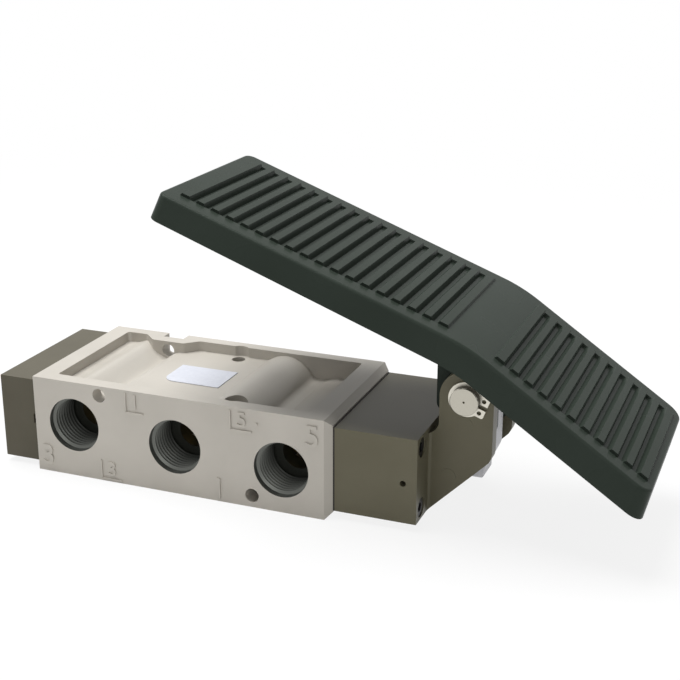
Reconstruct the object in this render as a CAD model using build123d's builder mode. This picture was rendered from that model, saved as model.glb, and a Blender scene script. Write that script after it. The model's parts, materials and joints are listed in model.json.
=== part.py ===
from build123d import *
import os
from math import acos, asin, cos, degrees, hypot, pi, radians, sin, sqrt, tan

os.makedirs("parts", exist_ok=True)

# Foot pedal air valve, in millimetres.
# Origin: centre of the valve body's base. +X runs along the body towards the pedal bracket,
# +Y towards the back, +Z up. The toe of the pedal reaches back over the body.

# Valve body, a die casting
BODY_LENGTH = 95.0
BODY_WIDTH = 50.0
BODY_HEIGHT = 30.0
END_CHAMFER = 1.9

# Threaded ports, three in front and two behind, on a line that falls towards the bracket
PORT_RADIUS = 8.33
PORT_DEPTH = 13.0
PORT_PITCH = 33.4
PORT_MID_X = -0.8
PORT_BELOW_MID = 0.3
PORT_FALL = 1.65
PASSAGE_RADIUS = 5.0

# Spool bore and the stack of seals and spacers in it
SPOOL_BELOW_MID = 0.8
BORE_RADIUS = 6.8
CHAMBER_RADIUS = 8.0
CHAMBER_WIDTH = 7.0
SPOOL_RADIUS = 4.5
NECK_RADIUS = 3.0
SEAL_WIDTH = 2.4
SPACER_WALL = 1.5
WINDOW_RADIUS = 2.2
WINDOWS = 6
RUNNING_GAP = 0.05

# Cast pocket in the top of the body
RIM_FRONT = 4.5
RIM_BACK = 3.7
RIM_END = 6.0
POCKET_DEPTH = 3.2
POCKET_CORNER = 1.0
RIDGE_RISE = 1.1
RIDGE_BEFORE = 9.1
RIDGE_SPAN = 5.1
TROUGH_WALL = 0.55
HUMP_RADIUS = 10.0
HUMP_DROP = 1.0
HUMP_OFFSET = 0.8
HUMP_ROOT = 2.0
VALLEY_ROOT = 2.5
SHOULDER_WALL = 2.6
SHOULDER_RISE = 1.08
PLATE_HOLE_RADIUS = 0.9
PLATE_HOLE_DEPTH = 2.5
PLATE_HOLE_BEFORE = 11.6
PLATE_HOLE_INSET = 20.3

# Holes through the body for mounting
BOLT_RADIUS = 2.1
SIDE_HOLE_LEFT = 22.4
SIDE_HOLE_RIGHT = 24.0
SIDE_HOLE_TOP = 3.0
SIDE_HOLE_BASE = 3.6
NUT_WIDTH = 7.0
NUT_RECESS = 3.6
BOSS_WALL = 4.0
BOSS_WIDTH = 11.0
BOSS_BASE = 19.0
BOSS_CORNER = 2.0
TOP_HOLE_BACK = 6.4
TOP_HOLE_FRONT = 7.5
TOP_HOLE_SPACING = 16.2
SPOT_FACE_RADIUS = 3.6
SPOT_FACE_DEPTH = 6.3

# Return end cap, gaskets and screws
CAP_LENGTH = 12.4
CAP_FLOOR = 2.2
GASKET = 0.5
SCREW_RADIUS = 1.5
SCREW_HEAD_RADIUS = 2.75
SCREW_HEAD_HEIGHT = 3.0
SCREW_GAP = 0.1
SCREW_GRIP = 6.5
SCREW_SPREAD_Y = 38.0
SCREW_SPREAD_Z = 18.0
HEX_SOCKET = 2.5
HEX_SOCKET_DEPTH = 1.8
COUNTERBORE_DEPTH = 3.3
CAST_EDGE = 0.3
VENT_LENGTH = 1.5
VENT_HEIGHT = 3.0
VENT_DEPTH = 1.0
VENT_ABOVE = 1.3

# Pedal bracket: a block with two ears
BLOCK_LENGTH = 23.9
BLOCK_INSET = 0.5
EAR_GAP = 18.0
EAR_THICKNESS = 4.0
EAR_RADIUS = 7.6
EAR_FOOT_RADIUS = 4.5
EAR_THROAT = 1.9
EAR_NECK_RADIUS = 3.8
EAR_ROOT_RADIUS = 1.0
ROD_CHAMBER_RADIUS = 7.0
BUSH_LENGTH = 8.0
BUSH_WALL = 1.5
GRUB_HOLE_RADIUS = 0.9
WIPER_LENGTH = 2.0

# Pivot, from the bracket's outer face and the base
PIVOT_REACH = 10.3
PIVOT_Z = 37.4
PIN_RADIUS = 4.0
PIN_OVERHANG = 3.0
CIRCLIP_THICKNESS = 0.8
CIRCLIP_GROOVE_DEPTH = 0.2
CIRCLIP_BAND = 1.1
CIRCLIP_LUG_REACH = 2.35
CIRCLIP_LUG_WIDTH = 2.5
CIRCLIP_GAP = 1.2
CIRCLIP_HOLE_RADIUS = 0.6
CIRCLIP_HOLE_INSET = 1.5
CIRCLIP_LUG_ANGLE = -20.5

# Pedal: a bent tray with ribs on top, lugs below
KNEE_AHEAD = 4.2
KNEE_ABOVE = 20.3
KNEE_RADIUS = 50.0
TOE_LENGTH = 93.0
TOE_SLOPE = 20.5
HEEL_LENGTH = 58.1
HEEL_SLOPE = 34.2
PEDAL_WIDTH = 57.4
PEDAL_SKIRT = 7.75
PEDAL_PLATE = 2.6
PEDAL_WALL = 2.4
SIDE_FLARE = 0.5
TOE_FLARE = 0.5
HEEL_FLARE = 3.0
TOE_CORNER = 3.0
HEEL_CORNER = 4.5
PEDAL_EDGE = 0.9
RIB_PITCH = 4.58
TOE_RIB_START = 9.1
HEEL_RIB_START = 8.4
TOE_RIB_MARGIN = 5.5
HEEL_RIB_MARGIN = 3.6
RIB_WIDTH = 3.6
RIB_TOP_WIDTH = 1.9
RIB_HEIGHT = 1.5
RIB_EDGE = 0.2
RIB_INSET = 4.2
WEB_DEPTH = 4.4
TOE_WEB_COUNT = 4
HEEL_WEB_COUNT = 2
LUG_THICKNESS = 2.4
LUG_BEHIND = 9.7
LUG_AHEAD = 7.3
LUG_DROP_BEHIND = 5.5
LUG_DROP_AHEAD = 14.0
LUG_CORNER = 3.0
LUG_BITE = 0.6

# Lever that links the pedal to the spool
LEVER_AHEAD = 6.0
LEVER_BEHIND = 6.6
LEVER_ABOVE = 14.0
LEVER_TOP_HALF_FALL = 2.4
LEVER_WIDTH = 8.6
HUB_BELOW = 6.6
TAIL_TOP = 12.0
TAIL_BACK = 4.6
TAIL_FRONT = 3.3
TAIL_BELOW = 26.7
TAPER_START = 18.2
TAPER_END = 24.0
TAPER_RADIUS = 5.0
TAIL_CORNER = 0.8
LINK_BACK = 1.1
LINK_PIN_RADIUS = 1.5
EYE_WALL = 1.4
EYE_THICKNESS = 4.0
EYE_GAP = 0.3
LOCK_PIN_RADIUS = 2.0
LOCK_PIN_BORE = 1.2
LOCK_PIN_SLIT = 0.8
LOCK_PIN_ABOVE = 10.3
LEVER_BUSH_WALL = 1.0
ROD_RADIUS = 3.0
PEDAL_TRAVEL = 13.0

# Return spring, on the spool's tail in the end cap
SEAT_THICKNESS = 1.2
RETAINER_THICKNESS = 1.6
RETAINER_RADIUS = 6.3
REST_GAP = 0.1
STEM_RADIUS = 2.5
WIRE_RADIUS = 0.5
SPRING_TURNS = 4.0
RETAINER_SCREW_RADIUS = 1.25
RETAINER_SCREW_LENGTH = 7.0

# Places worked out from the sizes
body_left = -BODY_LENGTH / 2
body_right = BODY_LENGTH / 2
front_y = -BODY_WIDTH / 2
back_y = BODY_WIDTH / 2
mid_z = BODY_HEIGHT / 2
spool_z = mid_z - SPOOL_BELOW_MID
front_port_xs = [PORT_MID_X + step * PORT_PITCH for step in (-1, 0, 1)]
back_port_xs = [PORT_MID_X + step * PORT_PITCH for step in (-0.5, 0.5)]
chamber_xs = sorted(front_port_xs + back_port_xs)
chamber_pitch = PORT_PITCH / 2
seal_xs = [PORT_MID_X + (step + 0.5) * chamber_pitch for step in range(-3, 3)]
spacer_length = chamber_pitch - SEAL_WIDTH
stack_radius = BORE_RADIUS - RUNNING_GAP
seat_right = seal_xs[0] - SEAL_WIDTH / 2
spring_right = seat_right - SEAT_THICKNESS
cap_joint = body_left - GASKET
cap_end = cap_joint - CAP_LENGTH
cap_hollow = cap_end + CAP_FLOOR
retainer_left = cap_hollow + REST_GAP
retainer_right = retainer_left + RETAINER_THICKNESS
block_left = body_right + GASKET
block_face = block_left + BLOCK_LENGTH
end_width = BODY_WIDTH - 2 * END_CHAMFER
end_height = BODY_HEIGHT - 2 * END_CHAMFER
block_height = end_height - 2 * BLOCK_INSET
block_base = mid_z - block_height / 2
block_top = mid_z + block_height / 2
screw_places = [
    (y, z)
    for y in (-SCREW_SPREAD_Y / 2, SCREW_SPREAD_Y / 2)
    for z in (mid_z - SCREW_SPREAD_Z / 2, mid_z + SCREW_SPREAD_Z / 2)
]
head_hole = SCREW_HEAD_RADIUS + SCREW_GAP
shank_hole = SCREW_RADIUS + SCREW_GAP
pivot_x = block_face + PIVOT_REACH
ear_inner = EAR_GAP / 2
ear_outer = ear_inner + EAR_THICKNESS
link_x = pivot_x - LINK_BACK
link_drop = PIVOT_Z - spool_z
link_arm = hypot(LINK_BACK, link_drop)
link_rise = link_drop - link_arm * cos(radians(PEDAL_TRAVEL) - asin(LINK_BACK / link_arm))
stroke = LINK_BACK + link_arm * sin(radians(PEDAL_TRAVEL) - asin(LINK_BACK / link_arm))
eye_radius = LINK_PIN_RADIUS + EYE_WALL
lug_outer = ear_inner - EYE_GAP
lug_inner = lug_outer - LUG_THICKNESS
knee_x = pivot_x + KNEE_AHEAD
knee_z = PIVOT_Z + KNEE_ABOVE
toe_dir = (cos(radians(TOE_SLOPE)), -sin(radians(TOE_SLOPE)))
heel_dir = (cos(radians(HEEL_SLOPE)), -sin(radians(HEEL_SLOPE)))
toe_x = knee_x - TOE_LENGTH * toe_dir[0]
toe_z = knee_z - TOE_LENGTH * toe_dir[1]
heel_x = knee_x + HEEL_LENGTH * heel_dir[0]
heel_z = knee_z + HEEL_LENGTH * heel_dir[1]


def port_height(x):
    """Height of a port's axis at x, on the falling line of ports."""
    return mid_z - PORT_BELOW_MID - PORT_FALL * (x - PORT_MID_X) / PORT_PITCH


def facing_front(x, z, y=front_y):
    """Plane at a point of the front, facing the front."""
    return Plane(origin=(x, y, z), x_dir=(1, 0, 0), z_dir=(0, -1, 0))


def facing_back(x, z, y=back_y):
    """Plane at a point of the back, facing the back."""
    return Plane(origin=(x, y, z), x_dir=(-1, 0, 0), z_dir=(0, 1, 0))


def across(x):
    """Plane across the body at x, facing +X, its own x along +Y."""
    return Plane(origin=(x, 0, 0), x_dir=(0, 1, 0), z_dir=(1, 0, 0))


def facing_left(x, y, z):
    """Plane at a point of an end face, facing -X."""
    return Plane(origin=(x, y, z), x_dir=(0, -1, 0), z_dir=(-1, 0, 0))


def facing_right(x, y, z):
    """Plane at a point of an end face, facing +X."""
    return Plane(origin=(x, y, z), x_dir=(0, 1, 0), z_dir=(1, 0, 0))


def save(part, label):
    """Name a finished piece and write it as one STEP file."""
    part.label = label
    export_step(part, f"parts/{label}.step")


# Pocket: its plan, cut off below by the cast floor with a ridge, a trough, a hump and a shoulder
pocket_left = body_left + RIM_END
pocket_right = body_right - END_CHAMFER - RIM_END
pocket_front = front_y + RIM_FRONT
pocket_back = back_y - RIM_BACK
boss_front = back_y - NUT_RECESS - BOSS_WALL
floor_z = BODY_HEIGHT - POCKET_DEPTH
side_hole_1 = (body_left + SIDE_HOLE_LEFT, BODY_HEIGHT - SIDE_HOLE_TOP)
side_hole_2 = (body_right - SIDE_HOLE_RIGHT, SIDE_HOLE_BASE)
top_hole_1 = (PORT_MID_X, back_y - TOP_HOLE_BACK)
top_hole_2 = (PORT_MID_X + TOP_HOLE_SPACING, front_y + TOP_HOLE_FRONT)
ridge_x = side_hole_1[0] - RIDGE_BEFORE
hump = (top_hole_2[0] - HUMP_OFFSET, BODY_HEIGHT - HUMP_DROP - HUMP_RADIUS)
shoulder = (front_port_xs[2], port_height(front_port_xs[2]))
shoulder_radius = PORT_RADIUS + SHOULDER_WALL
valley_z = shoulder[1] + shoulder_radius - SHOULDER_RISE
with BuildPart() as pocket:
    with BuildSketch(Plane.XY.offset(spool_z)):
        with BuildLine():
            Polyline(
                (pocket_left, pocket_front),
                (pocket_left, pocket_back),
                (side_hole_1[0] - BOSS_BASE / 2, pocket_back),
                (side_hole_1[0] - BOSS_WIDTH / 2, boss_front),
                (side_hole_1[0] + BOSS_WIDTH / 2, boss_front),
                (side_hole_1[0] + BOSS_BASE / 2, pocket_back),
                (pocket_right, pocket_back),
                (pocket_right, pocket_front),
                close=True,
            )
        make_face()
        boss_corners = vertices().filter_by(
            lambda v: abs(v.X - side_hole_1[0]) < BOSS_BASE / 2 + RUNNING_GAP
        )
        fillet(boss_corners, BOSS_CORNER)
        ends = vertices().group_by(Axis.X)
        fillet(ends[0] + ends[-1], POCKET_CORNER)
    extrude(amount=BODY_HEIGHT)
    with BuildSketch(Plane.XZ.offset(-BODY_WIDTH)):
        with BuildLine():
            ridge_start = (ridge_x - RIDGE_SPAN, floor_z)
            trough_end = (side_hole_1[0] + RIDGE_SPAN, floor_z)
            Line((body_left, floor_z), ridge_start)
            Spline(
                ridge_start,
                (ridge_x, floor_z + RIDGE_RISE),
                (side_hole_1[0], side_hole_1[1] - BOLT_RADIUS - TROUGH_WALL),
                trough_end,
                tangents=[(1, 0), (1, 0)],
            )
            Polyline(
                trough_end,
                (hump[0], floor_z),
                (hump[0], valley_z),
                (body_right, valley_z),
                (body_right, 2 * BODY_HEIGHT),
                (body_left, 2 * BODY_HEIGHT),
                (body_left, floor_z),
            )
        make_face()
        with Locations(hump):
            Circle(HUMP_RADIUS, mode=Mode.SUBTRACT)
        with Locations(shoulder):
            Circle(shoulder_radius, mode=Mode.SUBTRACT)
        hump_roots = vertices().filter_by(
            lambda v: abs(v.Y - floor_z) < RUNNING_GAP and trough_end[0] < v.X < hump[0]
        )
        fillet(hump_roots.sort_by(Axis.X)[-1], HUMP_ROOT)
        valley_roots = vertices().filter_by(
            lambda v: abs(v.Y - valley_z) < RUNNING_GAP and hump[0] < v.X < shoulder[0]
        )
        fillet(valley_roots, VALLEY_ROOT)
    extrude(amount=2 * BODY_WIDTH, mode=Mode.INTERSECT)

# Valve body: block bored for the spool, with ports, pocket and mounting holes
with BuildPart() as valve_body:
    Box(
        BODY_LENGTH,
        BODY_WIDTH,
        BODY_HEIGHT,
        align=(Align.CENTER, Align.CENTER, Align.MIN),
    )
    chamfer(faces().sort_by(Axis.X)[-1].edges(), END_CHAMFER)
    add(pocket.part, mode=Mode.SUBTRACT)
    with BuildSketch(across(body_left)):
        with Locations((0, spool_z)):
            Circle(BORE_RADIUS)
    extrude(amount=BODY_LENGTH, mode=Mode.SUBTRACT)
    for x in chamber_xs:
        with BuildSketch(across(x - CHAMBER_WIDTH / 2)):
            with Locations((0, spool_z)):
                Circle(CHAMBER_RADIUS)
        extrude(amount=CHAMBER_WIDTH, mode=Mode.SUBTRACT)
    for x in front_port_xs:
        with Locations(facing_front(x, port_height(x))):
            Hole(PORT_RADIUS, depth=PORT_DEPTH)
            Hole(PASSAGE_RADIUS, depth=-front_y - BORE_RADIUS / 2)
    for x in back_port_xs:
        with Locations(facing_back(x, port_height(x))):
            Hole(PORT_RADIUS, depth=PORT_DEPTH)
            Hole(PASSAGE_RADIUS, depth=back_y - BORE_RADIUS / 2)
    with Locations(facing_front(*side_hole_1), facing_front(*side_hole_2)):
        Hole(BOLT_RADIUS, depth=BODY_WIDTH)
    with Locations((side_hole_1[0], back_y - NUT_RECESS / 2, BODY_HEIGHT)):
        Box(
            NUT_WIDTH,
            NUT_RECESS,
            SIDE_HOLE_TOP + NUT_WIDTH / 2,
            align=(Align.CENTER, Align.CENTER, Align.MAX),
            mode=Mode.SUBTRACT,
        )
    with Locations((*top_hole_1, BODY_HEIGHT), (*top_hole_2, BODY_HEIGHT)):
        Hole(BOLT_RADIUS, depth=BODY_HEIGHT)
    with Locations((*top_hole_1, BODY_HEIGHT)):
        Hole(SPOT_FACE_RADIUS, depth=POCKET_DEPTH)
    with Locations((*top_hole_2, BODY_HEIGHT)):
        Hole(SPOT_FACE_RADIUS, depth=SPOT_FACE_DEPTH)
    with Locations((PORT_MID_X - PLATE_HOLE_BEFORE, front_y + PLATE_HOLE_INSET, floor_z)):
        Hole(PLATE_HOLE_RADIUS, depth=PLATE_HOLE_DEPTH)
    for y, z in screw_places:
        with Locations(facing_left(body_left, y, z), facing_right(body_right, y, z)):
            Hole(SCREW_RADIUS + RUNNING_GAP, depth=SCREW_GRIP + SCREW_GAP)
save(valve_body.part, "valve_body")

# Gaskets under the end cap and the bracket
for label, left, height in (
    ("cap_gasket", cap_joint, end_height),
    ("bracket_gasket", body_right, block_height),
):
    with BuildPart() as gasket:
        with BuildSketch(across(left)):
            with Locations((0, mid_z)):
                Rectangle(end_width, height)
            with Locations((0, spool_z)):
                Circle(BORE_RADIUS, mode=Mode.SUBTRACT)
            with Locations(*screw_places):
                Circle(shank_hole, mode=Mode.SUBTRACT)
        extrude(amount=GASKET)
    save(gasket.part, label)

# Return end cap: closed outside, bored inside for the spring, with a breather notch at its joint
with BuildPart() as end_cap:
    with BuildSketch(across(cap_end)):
        with Locations((0, mid_z)):
            Rectangle(end_width, end_height)
    extrude(amount=CAP_LENGTH)
    fillet(faces().sort_by(Axis.X)[0].edges(), CAST_EDGE)
    with Locations(facing_right(cap_joint, 0, spool_z)):
        Hole(BORE_RADIUS, depth=CAP_LENGTH - CAP_FLOOR)
    for y, z in screw_places:
        with Locations(facing_left(cap_end, y, z)):
            CounterBoreHole(shank_hole, head_hole, COUNTERBORE_DEPTH, depth=CAP_LENGTH)
    with Locations((cap_joint, -end_width / 2, spool_z + VENT_ABOVE)):
        Box(
            VENT_LENGTH,
            2 * VENT_DEPTH,
            VENT_HEIGHT,
            align=(Align.MAX, Align.CENTER, Align.CENTER),
            mode=Mode.SUBTRACT,
        )
save(end_cap.part, "return_end_cap")

# Ears: their plan, rounded into the block, cut to the side outline that leans out to the pivot
ear_left = pivot_x - EAR_RADIUS
ear_right = pivot_x + EAR_RADIUS
ear_places = [(block_face, side * (ear_inner + ear_outer) / 2) for side in (-1, 1)]
with BuildPart() as ears:
    with BuildSketch(Plane.XY.offset(block_base)):
        root_width = 2 * (ear_outer + 2 * EAR_ROOT_RADIUS)
        with Locations((block_face, 0)):
            Rectangle(BLOCK_LENGTH / 2, root_width, align=(Align.MAX, Align.CENTER))
        with Locations(*ear_places):
            Rectangle(
                ear_right - block_face, EAR_THICKNESS, align=(Align.MIN, Align.CENTER)
            )
        roots = [
            corner
            for corner in vertices()
            if abs(corner.X - block_face) < RUNNING_GAP and abs(corner.Y) <= ear_outer
        ]
        fillet(roots, EAR_ROOT_RADIUS)
    extrude(amount=2 * BODY_HEIGHT)
    with BuildSketch(Plane.XZ.offset(-BODY_WIDTH)):
        with BuildLine():
            foot = (ear_right, block_base + ear_right - block_face)
            FilletPolyline(
                (block_face, block_base),
                foot,
                (ear_right, PIVOT_Z),
                radius=EAR_FOOT_RADIUS,
            )
            CenterArc((pivot_x, PIVOT_Z), EAR_RADIUS, 0, 180)
            neck = (ear_left - EAR_NECK_RADIUS, block_top - EAR_THROAT + EAR_NECK_RADIUS)
            Line((ear_left, PIVOT_Z), (ear_left, neck[1]))
            CenterArc(neck, EAR_NECK_RADIUS, 0, -90)
            Polyline(
                (neck[0], block_top - EAR_THROAT),
                (block_left + BLOCK_LENGTH / 2, block_top - EAR_THROAT),
                (block_left + BLOCK_LENGTH / 2, block_base),
                (block_face, block_base),
            )
        make_face()
    extrude(amount=2 * BODY_WIDTH, mode=Mode.INTERSECT)

# Pedal bracket: a block with two ears
with BuildPart() as bracket:
    with BuildSketch(across(block_left)):
        with Locations((0, mid_z)):
            Rectangle(end_width, block_height)
    extrude(amount=BLOCK_LENGTH)
    add(ears.part)
    with Locations(facing_front(pivot_x, PIVOT_Z)):
        Hole(PIN_RADIUS + RUNNING_GAP, depth=BODY_WIDTH)
    with Locations(facing_left(block_left, 0, spool_z)):
        Hole(ROD_CHAMBER_RADIUS, depth=BLOCK_LENGTH - BUSH_LENGTH - WIPER_LENGTH)
        Hole(ROD_RADIUS + RUNNING_GAP + BUSH_WALL, depth=BLOCK_LENGTH)
    with Locations(facing_front(block_face - BUSH_LENGTH / 2, spool_z, -end_width / 2)):
        Hole(GRUB_HOLE_RADIUS, depth=end_width / 2 - ROD_RADIUS - BUSH_WALL)
    for y, z in screw_places:
        with Locations(facing_right(block_face, y, z)):
            CounterBoreHole(shank_hole, head_hole, COUNTERBORE_DEPTH, depth=BLOCK_LENGTH)
save(bracket.part, "pedal_bracket")


def socket_screws(label, seat_x, outward, shank):
    """Four hexagon socket screws; outward is +1 or -1 along X, from the seat of the head."""
    facing = facing_right if outward > 0 else facing_left
    with BuildPart() as screws:
        for y, z in screw_places:
            plane = facing(seat_x, y, z)
            with BuildSketch(plane):
                Circle(SCREW_HEAD_RADIUS)
            extrude(amount=SCREW_HEAD_HEIGHT)
            with BuildSketch(plane):
                Circle(SCREW_RADIUS)
            extrude(amount=-shank)
            with BuildSketch(plane.offset(SCREW_HEAD_HEIGHT)):
                RegularPolygon(HEX_SOCKET / 2, 6, major_radius=False)
            extrude(amount=-HEX_SOCKET_DEPTH, mode=Mode.SUBTRACT)
    save(screws.part, label)


socket_screws(
    "cap_screws",
    cap_end + COUNTERBORE_DEPTH,
    -1,
    CAP_LENGTH - COUNTERBORE_DEPTH + GASKET + SCREW_GRIP,
)
socket_screws(
    "bracket_screws",
    block_face - COUNTERBORE_DEPTH,
    1,
    BLOCK_LENGTH - COUNTERBORE_DEPTH + GASKET + SCREW_GRIP,
)

# Spool seals: rings with a rounded lip that rides on the spool
with BuildPart() as seals:
    for x in seal_xs:
        with BuildSketch(Plane.XZ):
            with Locations((x, spool_z)):
                Rectangle(
                    SEAL_WIDTH, stack_radius, align=(Align.CENTER, Align.MIN)
                )
                Rectangle(
                    SEAL_WIDTH,
                    SPOOL_RADIUS + RUNNING_GAP,
                    align=(Align.CENTER, Align.MIN),
                    mode=Mode.SUBTRACT,
                )
            lip = vertices().group_by(Axis.Y)[0]
            fillet(lip, SEAL_WIDTH / 3)
        revolve(axis=Axis((0, 0, spool_z), (1, 0, 0)))
save(seals.part, "spool_seals")

# Spacers between the seals, with windows to the chambers
with BuildPart() as spacers:
    for x in chamber_xs:
        with BuildSketch(across(x - spacer_length / 2)):
            with Locations((0, spool_z)):
                Circle(stack_radius)
                Circle(stack_radius - SPACER_WALL, mode=Mode.SUBTRACT)
        extrude(amount=spacer_length)
        for turn in range(WINDOWS):
            angle = 2 * pi * turn / WINDOWS
            window = Plane(
                origin=(x, 0, spool_z), x_dir=(1, 0, 0), z_dir=(0, sin(angle), cos(angle))
            )
            with BuildSketch(window):
                Circle(WINDOW_RADIUS)
            extrude(amount=CHAMBER_RADIUS, mode=Mode.SUBTRACT)
save(spacers.part, "spool_spacers")

# Ring that holds the stack against the bracket
stack_end = seal_xs[-1] + SEAL_WIDTH / 2
with BuildPart() as end_ring:
    with BuildSketch(across(stack_end)):
        with Locations((0, spool_z)):
            Circle(stack_radius)
            Circle(stack_radius - SPACER_WALL, mode=Mode.SUBTRACT)
    extrude(amount=body_right - stack_end)
save(end_ring.part, "stack_end_ring")

# Spring seat: washer that rests on the first seal
with BuildPart() as spring_seat:
    with BuildSketch(across(spring_right)):
        with Locations((0, spool_z)):
            Circle(stack_radius)
            Circle(SPOOL_RADIUS + 4 * RUNNING_GAP, mode=Mode.SUBTRACT)
    extrude(amount=SEAT_THICKNESS)
save(spring_seat.part, "spring_seat")

# Rod guide bush and wiper in the bracket
with BuildPart() as rod_bush:
    with BuildSketch(across(block_face - BUSH_LENGTH)):
        with Locations((0, spool_z)):
            Circle(ROD_RADIUS + BUSH_WALL)
            Circle(ROD_RADIUS + RUNNING_GAP, mode=Mode.SUBTRACT)
    extrude(amount=BUSH_LENGTH)
    chamfer(edges().group_by(Axis.X)[-1], RUNNING_GAP * 4)
save(rod_bush.part, "rod_bush")

with BuildPart() as wiper:
    with BuildSketch(across(block_face - BUSH_LENGTH - WIPER_LENGTH)):
        with Locations((0, spool_z)):
            Circle(ROD_RADIUS + BUSH_WALL)
            Circle(ROD_RADIUS + RUNNING_GAP, mode=Mode.SUBTRACT)
    extrude(amount=WIPER_LENGTH)
save(wiper.part, "rod_wiper")

# Spool: three necks join the ports in pairs; a stem behind carries the spring's retainer
seal_half = SEAL_WIDTH / 2
neck_margin = 0.9
spool_left = seal_xs[0] - seal_half - stroke - 2 * neck_margin
spool_right = body_right - neck_margin
necks = [
    (chamber_xs[0] - chamber_pitch / 4, seal_xs[1] - seal_half - neck_margin),
    (seal_xs[2] - seal_half - neck_margin, seal_xs[3] - seal_half - neck_margin),
    (seal_xs[4] - seal_half - neck_margin, chamber_xs[4] + chamber_pitch / 6),
]
with BuildPart() as spool:
    with BuildSketch(across(spool_left)):
        with Locations((0, spool_z)):
            Circle(SPOOL_RADIUS)
    extrude(amount=spool_right - spool_left)
    for left, right in necks:
        with BuildSketch(across(left)):
            with Locations((0, spool_z)):
                Circle(SPOOL_RADIUS)
                Circle(NECK_RADIUS, mode=Mode.SUBTRACT)
        extrude(amount=right - left, mode=Mode.SUBTRACT)
    with BuildSketch(across(retainer_right)):
        with Locations((0, spool_z)):
            Circle(STEM_RADIUS)
    extrude(amount=spool_left - retainer_right)
    with Locations(facing_left(retainer_right, 0, spool_z)):
        Hole(RETAINER_SCREW_RADIUS + RUNNING_GAP, depth=RETAINER_SCREW_LENGTH)
save(spool.part, "spool")

# Spool rod: round through the bush, flattened to an eye with an upright slot for the link pin
rod_shoulder = block_face + EYE_WALL
eye_left = block_face + EYE_WALL / 2
with BuildPart() as rod:
    with BuildSketch(across(spool_right)):
        with Locations((0, spool_z)):
            Circle(ROD_RADIUS)
    extrude(amount=rod_shoulder - spool_right)
    with BuildSketch(Plane.XZ.offset(-EYE_THICKNESS / 2)):
        with Locations((link_x, spool_z), (link_x, spool_z + link_rise)):
            Circle(eye_radius)
        with Locations(((eye_left + link_x) / 2, spool_z + link_rise / 2)):
            Rectangle(link_x - eye_left, 2 * eye_radius - link_rise)
        with Locations((link_x, spool_z + link_rise / 2)):
            Rectangle(2 * eye_radius, link_rise)
        with Locations((link_x, spool_z + link_rise / 2)):
            SlotCenterToCenter(
                link_rise + 2 * EYE_GAP,
                2 * (LINK_PIN_RADIUS + 2 * RUNNING_GAP),
                rotation=90,
                mode=Mode.SUBTRACT,
            )
    extrude(amount=EYE_THICKNESS)
save(rod.part, "spool_rod")

# Spring retainer, its countersunk screw, and the spring
with BuildPart() as retainer:
    with BuildSketch(across(retainer_left)):
        with Locations((0, spool_z)):
            Circle(RETAINER_RADIUS)
    extrude(amount=RETAINER_THICKNESS)
    with Locations(facing_left(retainer_left, 0, spool_z)):
        CounterSinkHole(
            RETAINER_SCREW_RADIUS + RUNNING_GAP,
            2 * RETAINER_SCREW_RADIUS + RUNNING_GAP,
            depth=RETAINER_THICKNESS,
            counter_sink_angle=90,
        )
save(retainer.part, "spring_retainer")

with BuildPart() as retainer_screw:
    with BuildSketch(Plane.XZ):
        with BuildLine():
            Polyline(
                (retainer_left, spool_z),
                (retainer_left, spool_z + 2 * RETAINER_SCREW_RADIUS),
                (retainer_left + RETAINER_SCREW_RADIUS, spool_z + RETAINER_SCREW_RADIUS),
                (retainer_left + RETAINER_SCREW_LENGTH, spool_z + RETAINER_SCREW_RADIUS),
                (retainer_left + RETAINER_SCREW_LENGTH, spool_z),
                close=True,
            )
        make_face()
    revolve(axis=Axis((0, 0, spool_z), (1, 0, 0)))
save(retainer_screw.part, "retainer_screw")

spring_length = spring_right - retainer_right - 2 * WIRE_RADIUS - 2 * RUNNING_GAP
spring_start = retainer_right + WIRE_RADIUS + RUNNING_GAP
coil_radius = RETAINER_RADIUS - 2 * WIRE_RADIUS
with BuildPart() as spring:
    with BuildLine():
        coil = Helix(
            spring_length / SPRING_TURNS,
            spring_length,
            coil_radius,
            center=(spring_start, 0, spool_z),
            direction=(1, 0, 0),
        )
    with BuildSketch(Plane(origin=coil @ 0, z_dir=coil % 0)):
        Circle(WIRE_RADIUS)
    sweep(path=coil, is_frenet=True)
save(spring.part, "return_spring")

# Pivot pin with a groove at each end, and its two circlips
pin_half = ear_outer + PIN_OVERHANG
clip_inner_face = ear_outer + RUNNING_GAP
with BuildPart() as pivot_pin:
    with BuildSketch(facing_front(pivot_x, PIVOT_Z, -pin_half)):
        Circle(PIN_RADIUS)
    extrude(amount=-2 * pin_half)
    chamfer(edges().filter_by(GeomType.CIRCLE), CIRCLIP_GROOVE_DEPTH)
    for face_y in (-clip_inner_face, clip_inner_face + CIRCLIP_THICKNESS):
        with BuildSketch(facing_front(pivot_x, PIVOT_Z, face_y)):
            Circle(PIN_RADIUS)
            Circle(PIN_RADIUS - CIRCLIP_GROOVE_DEPTH, mode=Mode.SUBTRACT)
        extrude(amount=CIRCLIP_THICKNESS, mode=Mode.SUBTRACT)
save(pivot_pin.part, "pivot_pin")

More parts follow.
